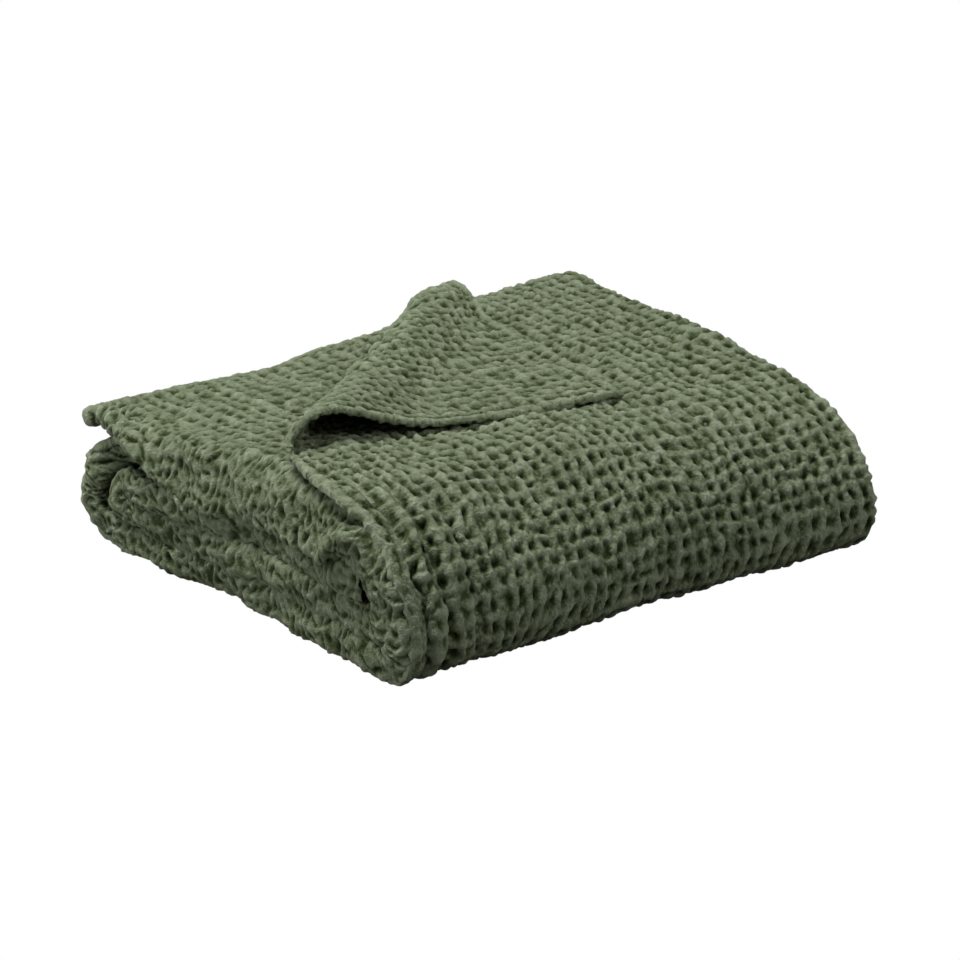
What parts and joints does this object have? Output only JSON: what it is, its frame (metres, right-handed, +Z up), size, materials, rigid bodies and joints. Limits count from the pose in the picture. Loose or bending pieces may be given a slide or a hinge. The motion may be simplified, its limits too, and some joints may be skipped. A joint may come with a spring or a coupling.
{
  "type": "folded throw blanket",
  "caption": "Crinkled waffle cotton throw folded into a soft bundle, with a top corner rolled back over itself.",
  "frame": {"origin": "middle of the bundle's box, at the underside that rests on the surface", "axes": "+X along the long side, towards the smooth folded end; -Y towards the rounded front; +Z up"},
  "size_m": [0.43, 0.4136, 0.1594],
  "materials": {
    "waffle_cotton": "stonewashed, matt"
  },
  "bodies": {
    "root": {"throw": "waffle_cotton"}
  },
  "joints": []
}
